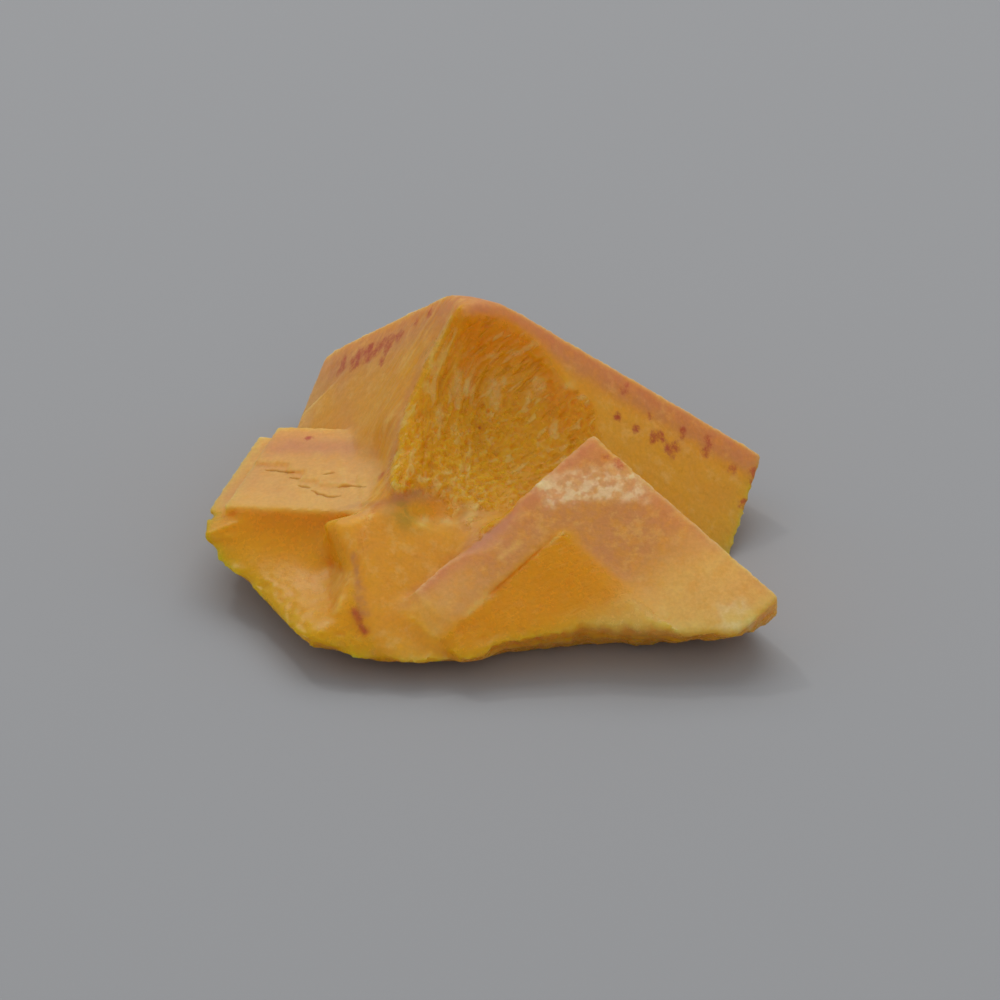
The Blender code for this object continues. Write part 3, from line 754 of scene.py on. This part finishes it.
    hackle = hollow * smooth_step(0.2, -1.8, points[:, 0] + 0.18 * (up - 13.0) + wander)
    beside_hollow = faces["main_left"] * grown * smooth_step(8.0, 2.5, main[:, 1] + 2 * wander)
    hackle = np.maximum(hackle, beside_hollow * 0.6)
    chatter = np.maximum(hollow * smooth_step(-2.2, -0.6, points[:, 0] + wander), faces["recess"] * 0.12)
    flat = np.stack([points[:, 0], up], axis=1)
    low_front = (points[:, 1] < 6) & (front[:, 1] < 0)
    streak, _ = to_line(flat, MIDDLE_STREAK)
    suture, _ = to_line(flat, MIDDLE_SEAM)
    top_seam, _ = to_line(flat, MIDDLE_TOP_SEAM)
    purple = np.maximum(
        smooth_step(0.30, 0.04, suture + 0.35 * wander) * low_front,
        smooth_step(0.17, 0.03, top_seam + 0.4 * wander) * (points[:, 1] < 8.5) * 0.7)
    front_rim = np.minimum(front[:, 0] + 0.3, front[:, 1]) + wander * 0.3
    purple = np.maximum.reduce([
        purple, faces["front"] * smooth_step(0.55, 0.05, front_rim) * (1 - band_end) * 0.6,
        faces["main_right"] * smooth_step(-0.8, -0.1, main[:, 2]) * 0.5, apex * grown * 0.4])
    red = np.maximum(
        smooth_step(0.24, 0.08, streak + 0.15 * wander) * low_front,
        spots(left[:, :2], LEFT_WEDGE) * (np.abs(left[:, 2]) < 1.2))
    on_front = np.abs(front[:, 2]) < 1.0
    return {
        "skin": skin, "blush": blush, "amber": amber, "cream": cream, "olive": olive, "golden": golden,
        "stain": stain_mask(points, fields, broken),
        "frost": np.maximum(frost_mask(fields), spots(front[:, :2], CORNER_FROST) * on_front * 0.8),
        # Painted shade: the crack mask darkens the cracks towards the crack colour.
        "seam": crack_mask(fields), "grown": grown, "hackle": hackle, "chatter": chatter,
        "purple": purple, "red": red,
        # Painted glints and highlights, with the pale veils: the hollow's veils, the band's glints and the
        # corner veils.
        "veil": np.maximum.reduce([
            veil_and_glint_mask(points, fields), band_glints(fields),
            spots(front[:, :2], CORNER_VEILS) * on_front]),
    }


def normals_of(shape):
    """Point normals of a bmesh."""
    shape.normal_update()
    return np.array([vert.normal[:] for vert in shape.verts])


def put_points(shape, points):
    """Moves the points of a bmesh to layout positions."""
    for vert, place in zip(shape.verts, (points - FOOTPRINT_CENTRE) * MM):
        vert.co = place


def make_cluster(sizes):
    """The finely surfaced cluster, with its masks, as one object."""
    shape = fine_surface(sizes.spacing)
    fields = surface_fields(points_of(shape))
    refine(shape, fields["hollow"] > 0.4)
    for reach in CRACK_REACHES:
        fields = surface_fields(points_of(shape))
        refine(shape, crack_distance(fields) < reach)
    bmesh.ops.triangulate(shape, faces=shape.faces)

    solid = points_of(shape)
    fields = surface_fields(solid)
    shape.verts.index_update()
    edges = np.array([[vert.index for vert in edge.verts] for edge in shape.edges])
    fields["soft_hollow"] = spread(fields["hollow"], edges, HOLLOW_SPREAD)
    base = solid[:, 2] < BASE_HEIGHT
    grown = spread(natural_share(fields), edges, GROWN_SPREAD)
    masks = colour_masks(solid, fields, grown)
    points = wear_edges(solid, edges, fields, grown, sizes)
    put_points(shape, points)
    points = points + normals_of(shape) * relief(solid, fields, grown, sizes)[:, None]
    low, high = (np.array(corner) / MM + FOOTPRINT_CENTRE for corner in CAD_BOX)
    points = np.clip(points, low + INSET, high - INSET)
    points[base, 2] = 0.0
    put_points(shape, points)
    mesh = bpy.data.meshes.new(CLUSTER)
    shape.to_mesh(mesh)
    shape.free()
    mesh.shade_smooth()
    mesh.set_sharp_from_angle(angle=SHARP_ANGLE)
    for name, values in masks.items():
        values = spread(values, edges, SOFT_SPREAD if name in SOFT_MASKS else SHARP_SPREAD)
        layer = mesh.attributes.new(name, "FLOAT", "POINT")
        layer.data.foreach_set("value", values.astype(np.float32))
    return add_object(CLUSTER, mesh)


def put(socket, value):
    """Links a socket, or sets a plain value."""
    if isinstance(value, bpy.types.NodeSocket):
        socket.id_data.links.new(value, socket)
    else:
        socket.default_value = value


def fill(node, values):
    """Puts a value in each named input of a node."""
    for name, value in values.items():
        put(node.inputs[name], value)


class Finish:
    """Builds the nodes of one material, from left to right."""

    def __init__(self, name):
        self.material = bpy.data.materials.new(name)
        self.material.use_nodes = True
        self.tree = self.material.node_tree
        self.shader = self.tree.nodes["Principled BSDF"]
        self.output = self.tree.nodes["Material Output"]
        self.place = self.add("ShaderNodeTexCoord").outputs["Object"]

    def add(self, kind, **settings):
        node = self.tree.nodes.new(kind)
        for name, value in settings.items():
            setattr(node, name, value)
        return node

    def mask(self, name):
        return self.add("ShaderNodeAttribute", attribute_name=name).outputs["Fac"]

    def math(self, operation, first, second, clamp=False):
        node = self.add("ShaderNodeMath", operation=operation, use_clamp=clamp)
        put(node.inputs[0], first)
        put(node.inputs[1], second)
        return node.outputs[0]

    def times(self, first, second):
        return self.math("MULTIPLY", first, second)

    def noise(self, per_mm, detail, roughness):
        node = self.add("ShaderNodeTexNoise")
        fill(node, {
            "Vector": self.place, "Scale": per_mm / MM, "Detail": detail, "Roughness": roughness})
        return node.outputs["Fac"]

    def streaks(self, run, per_mm, share):
        """Noise drawn out into lines along a direction."""
        way = Vector(run).normalized()
        along = self.add("ShaderNodeVectorMath", operation="DOT_PRODUCT")
        put(along.inputs[0], self.place)
        put(along.inputs[1], way)
        part = self.add("ShaderNodeVectorMath", operation="SCALE")
        put(part.inputs[0], way * (1 - share))
        put(part.inputs["Scale"], along.outputs["Value"])
        rest = self.add("ShaderNodeVectorMath", operation="SUBTRACT")
        put(rest.inputs[0], self.place)
        put(rest.inputs[1], part.outputs["Vector"])
        node = self.add("ShaderNodeTexNoise")
        fill(node, {"Vector": rest.outputs["Vector"], "Scale": per_mm / MM, "Detail": 2.0})
        return node.outputs["Fac"]

    def ramp(self, value, low, high, start=0.0, end=1.0):
        node = self.add("ShaderNodeMapRange", interpolation_type="SMOOTHSTEP", clamp=True)
        fill(node, {"Value": value, "From Min": low, "From Max": high, "To Min": start, "To Max": end})
        return node.outputs["Result"]

    def mix(self, share, first, second):
        node = self.add("ShaderNodeMix", data_type="RGBA", blend_type="MIX")
        put(node.inputs["Factor"], share)
        put(node.inputs[6], first)
        put(node.inputs[7], second)
        return node.outputs[2]


def fluorite_finish(colours):
    """Translucent honey fluorite: glassy where it broke, etched and peach where it grew."""
    finish = Finish("honey_fluorite")
    shader = finish.shader
    paints = {name: tuple(getattr(colours, name)) for name in FluoriteColours.__annotations__}
    masks = {name: finish.mask(name) for name in (
        "skin", "blush", "amber", "cream", "olive", "golden", "stain", "frost", "seam", "grown", "hackle",
        "chatter", "purple", "red", "veil")}
    cloud, mottle, grit = (finish.noise(*pattern) for pattern in (CLOUD, MOTTLE, GRIT))

    def tint(colour, name, pattern, *ramp, over=None):
        """The colour with another laid over it, by a mask and by a pattern ramped from low to high."""
        weight = finish.times(masks[name], finish.ramp(pattern, *ramp))
        return finish.mix(weight, colour, paints[over or name])

    def marks(hackle_ramp, chatter_ramp):
        """Lines where the break is hackled and where it is chattered."""
        return finish.math(
            "ADD", finish.times(masks["hackle"], finish.ramp(hackles, *hackle_ramp)),
            finish.times(masks["chatter"], finish.ramp(chatter, *chatter_ramp)), clamp=True)

    colour = finish.mix(finish.ramp(cloud, 0.35, 0.65, 0.0, 0.25), paints["honey"], paints["amber"])
    colour = tint(colour, "golden", mottle, 0.3, 0.6, 0.7, 1.0)
    colour = tint(colour, "skin", mottle, 0.32, 0.58, 0.62, 1.0)
    colour = tint(colour, "grown", finish.noise(*PALE_PATCHES), 0.50, 0.66, 0.0, 0.45, over="cream")
    colour = tint(colour, "grown", finish.noise(*DARK_PATCHES), 0.56, 0.72, 0.0, 0.40, over="deep_tone_and_shade")
    colour = tint(colour, "cream", mottle, 0.3, 0.62, 0.6, 1.0)
    colour = tint(colour, "olive", mottle, 0.36, 0.58, 0.3, 0.9)
    colour = tint(colour, "blush", cloud, 0.3, 0.6, 0.5, 1.0)
    colour = tint(colour, "amber", mottle, 0.25, 0.6, 0.75, 1.0)
    colour = tint(colour, "purple", mottle, 0.3, 0.6, 0.2, 0.6)
    hackles = finish.streaks(HACKLE_RUN, *HACKLE_STREAKS)
    chatter = finish.streaks(CHATTER_RUN, *CHATTER_STREAKS)
    # Painted highlight and shade: the hackle and chatter lines are lightened towards the veil colour like lit
    # ridges, and the furrows between them are darkened towards the deep colour like shade. The same lines
    # drive the bump below.
    lines = marks((0.53, 0.63), (0.57, 0.66))
    furrow_shade = marks((0.47, 0.36), (0.41, 0.31))
    colour = finish.mix(finish.times(lines, 0.50), colour, paints["veil"])
    colour = finish.mix(finish.times(furrow_shade, 0.42), colour, paints["deep_tone_and_shade"])
    colour = tint(colour, "frost", finish.noise(*BLOBS), 0.40, 0.60, 0.25, 0.85)
    colour = tint(colour, "veil", grit, 0.35, 0.6, 0.35, 0.8)
    # Painted shade in the cracks, darkened halfway to the crack colour.
    colour = finish.mix(finish.times(masks["seam"], 0.5), colour, paints["seam"])
    fleck = finish.math("ADD", finish.noise(*FLECKS), finish.times(masks["stain"], 0.31))
    specks = finish.times(finish.ramp(fleck, 0.62, 0.92, 0.0, 0.9), finish.ramp(masks["stain"], 0.0, 0.5))
    colour = finish.mix(specks, colour, paints["haematite"])
    colour = tint(colour, "red", mottle, 0.3, 0.6, 0.6, 0.95, over="haematite")
    colour = finish.mix(finish.ramp(grit, 0.3, 0.7, 0.0, 0.16), colour, paints["seam"])

    rough = finish.ramp(masks["grown"], 0.0, 1.0, *BROKEN_GROWN_ROUGHNESS)
    rough = finish.math("ADD", rough, finish.ramp(mottle, 0.3, 0.7, -0.04, 0.07), clamp=True)
    rough = finish.math("MAXIMUM", rough, finish.times(masks["frost"], 0.55))
    through = finish.ramp(masks["grown"], 0.0, 1.0, *BROKEN_GROWN_TRANSMISSION)
    fill(shader, CRYSTAL)
    fill(shader, {"Base Color": colour, "Roughness": rough, "Transmission Weight": through})

    absorb = finish.add("ShaderNodeVolumeAbsorption")
    fill(absorb, ABSORPTION)
    put(finish.output.inputs["Volume"], absorb.outputs["Volume"])

    etched, grains = finish.noise(*ETCHING), finish.noise(*GRAINS)
    height = finish.math("ADD", finish.times(etched, 0.6), finish.times(grains, 0.4))
    height = finish.math("ADD", height, finish.times(finish.math("SUBTRACT", lines, furrow_shade), 2.4))
    bump = finish.add("ShaderNodeBump")
    fill(bump, BUMP)
    put(bump.inputs["Height"], height)
    put(shader.inputs["Normal"], bump.outputs["Normal"])
    return finish.material


class FLUORITE_OT_cluster(bpy.types.Operator):
    """Make the fluorite cluster, in place of the plain solid"""

    bl_idname = "fluorite.make_cluster"
    bl_label = "Make fluorite cluster"

    def execute(self, context):
        cluster = make_cluster(context.scene.fluorite_sizes)
        cluster.data.materials.append(fluorite_finish(context.scene.fluorite_colours))
        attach(cluster, "root")
        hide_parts(CAD_NODE)
        return {"FINISHED"}


def add_softbox(name, place, aim, size, power):
    """A square lamp that faces a point, in metres and watts."""
    light = bpy.data.lights.new(name, "AREA")
    light.shape = "SQUARE"
    light.size = size
    light.energy = power
    lamp = add_object(name, light)
    lamp.location = place
    lamp.rotation_euler = (Vector(aim) - Vector(place)).to_track_quat("-Z", "Y").to_euler()


class FLUORITE_OT_stage(bpy.types.Operator):
    """Make the pale floor, the soft lamps and the camera"""

    bl_idname = "fluorite.make_stage"
    bl_label = "Make stage"

    def execute(self, context):
        scene = context.scene
        settings = scene.fluorite_stage
        shape = bmesh.new()
        bmesh.ops.create_grid(shape, x_segments=1, y_segments=1, size=FLOOR_HALF)
        mesh = bpy.data.meshes.new("floor")
        shape.to_mesh(mesh)
        shape.free()
        floor = add_object("floor", mesh)
        finish = Finish("pale_floor")
        fill(finish.shader, {
            "Base Color": tuple(settings.floor_colour), "Roughness": FLOOR_ROUGHNESS})
        floor.data.materials.append(finish.material)

        world = bpy.data.worlds.new("studio")
        scene.world = world
        world.use_nodes = True
        fill(world.node_tree.nodes["Background"], SKY)
        for name, place, aim, size, power in LAMPS:
            add_softbox(name, place, aim, size, getattr(settings, power))
        scene.view_settings.view_transform = "Standard"

        data = bpy.data.cameras.new("camera")
        data.sensor_width = SENSOR
        data.lens = LENS
        away = settings.width_seen / 2 / (SENSOR / 2 / LENS)
        data.clip_start, data.clip_end = 0.01, 5.0
        camera = add_object("camera", data)
        back_way = Vector((0, -math.cos(settings.elevation), math.sin(settings.elevation)))
        camera.location = Vector(CAMERA_AIM) * MM + back_way * away
        camera.rotation_euler = (-back_way).to_track_quat("-Z", "Y").to_euler()
        scene.camera = camera
        return {"FINISHED"}


class FLUORITE_PT_panel(bpy.types.Panel):
    """Lists what can be made"""

    bl_label = "Fluorite"
    bl_idname = "FLUORITE_PT_panel"
    bl_space_type = "VIEW_3D"
    bl_region_type = "UI"
    bl_category = "Fluorite"

    def draw(self, context):
        column = self.layout.column()
        column.operator(FLUORITE_OT_cluster.bl_idname)
        column.operator(FLUORITE_OT_stage.bl_idname)
        scene = context.scene
        for group in (scene.fluorite_sizes, scene.fluorite_colours, scene.fluorite_stage):
            box = self.layout.box()
            for name in group.__annotations__:
                box.prop(group, name)


CLASSES = (
    FluoriteSizes, FluoriteColours, StageSettings, FLUORITE_OT_cluster, FLUORITE_OT_stage, FLUORITE_PT_panel,
)


def register():
    for item in CLASSES:
        bpy.utils.register_class(item)
    bpy.types.Scene.fluorite_sizes = bpy.props.PointerProperty(type=FluoriteSizes)
    bpy.types.Scene.fluorite_colours = bpy.props.PointerProperty(type=FluoriteColours)
    bpy.types.Scene.fluorite_stage = bpy.props.PointerProperty(type=StageSettings)


def unregister():
    del bpy.types.Scene.fluorite_stage
    del bpy.types.Scene.fluorite_colours
    del bpy.types.Scene.fluorite_sizes
    for item in reversed(CLASSES):
        bpy.utils.unregister_class(item)


def main():
    """Makes everything."""
    register()
    bpy.ops.fluorite.make_cluster()
    bpy.ops.fluorite.make_stage()
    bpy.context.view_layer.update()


if __name__ == "__main__":
    main()
